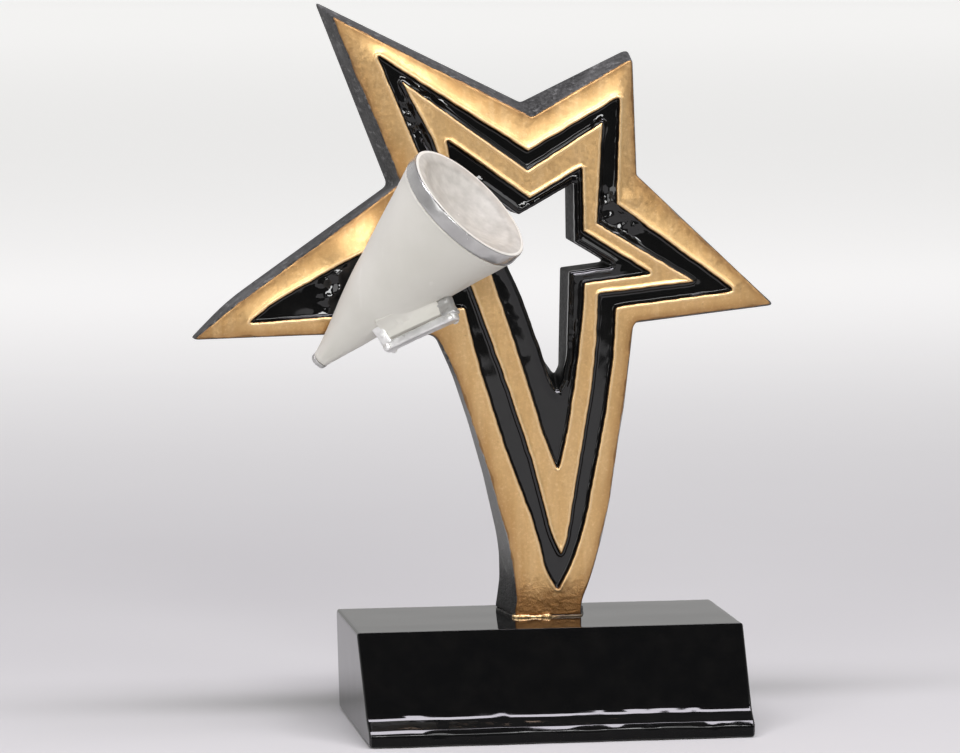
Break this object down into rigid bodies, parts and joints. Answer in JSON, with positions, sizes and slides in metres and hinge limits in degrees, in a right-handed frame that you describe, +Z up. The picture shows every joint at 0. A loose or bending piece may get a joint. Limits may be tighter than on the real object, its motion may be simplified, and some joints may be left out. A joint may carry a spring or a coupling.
{
  "type": "star trophy",
  "caption": "Free-standing award: a gold and black cast star on a curved stem, with a white megaphone on its front, standing on a glossy black sloped plinth.",
  "frame": {"origin": "centre of the underside of the base, on the surface that the award stands on", "axes": "+Z up along the award's height, the front faces -Y, +X to the right seen from the front"},
  "size_m": [0.1361, 0.0551, 0.1646],
  "materials": {
    "black_lacquer": "polished black lacquer over cast resin",
    "felt": "self-adhesive felt",
    "antique_gold": "satin antique gold metallic paint over cast resin, charcoal sides and back",
    "black_enamel": "thick gloss black enamel with soft ripples",
    "white_enamel": "warm white satin enamel over cast resin",
    "silver_paint": "bright silver metallic paint over cast resin",
    "zinc_steel": "zinc plated"
  },
  "bodies": {
    "root": {"base_block": "black_lacquer", "felt_pad": "felt", "star_casting": "antique_gold", "channel_enamel": "black_enamel", "lining_enamel": "black_enamel", "foot_glue_bead": "antique_gold", "stem_stud": "zinc_steel", "stud_washer": "zinc_steel", "stud_nut": "zinc_steel", "foot_dowel_left": "zinc_steel", "foot_dowel_right": "zinc_steel", "megaphone_cone": "white_enamel", "megaphone_mouth_disc": "white_enamel", "megaphone_rim_band": "silver_paint", "megaphone_mouthpiece": "silver_paint", "handle_bar": "silver_paint", "handle_bracket_front": "silver_paint", "handle_bracket_rear": "silver_paint", "handle_rivet_front": "silver_paint", "handle_rivet_rear": "silver_paint", "megaphone_pin_lower": "zinc_steel", "megaphone_pin_upper": "zinc_steel"}
  },
  "joints": []
}
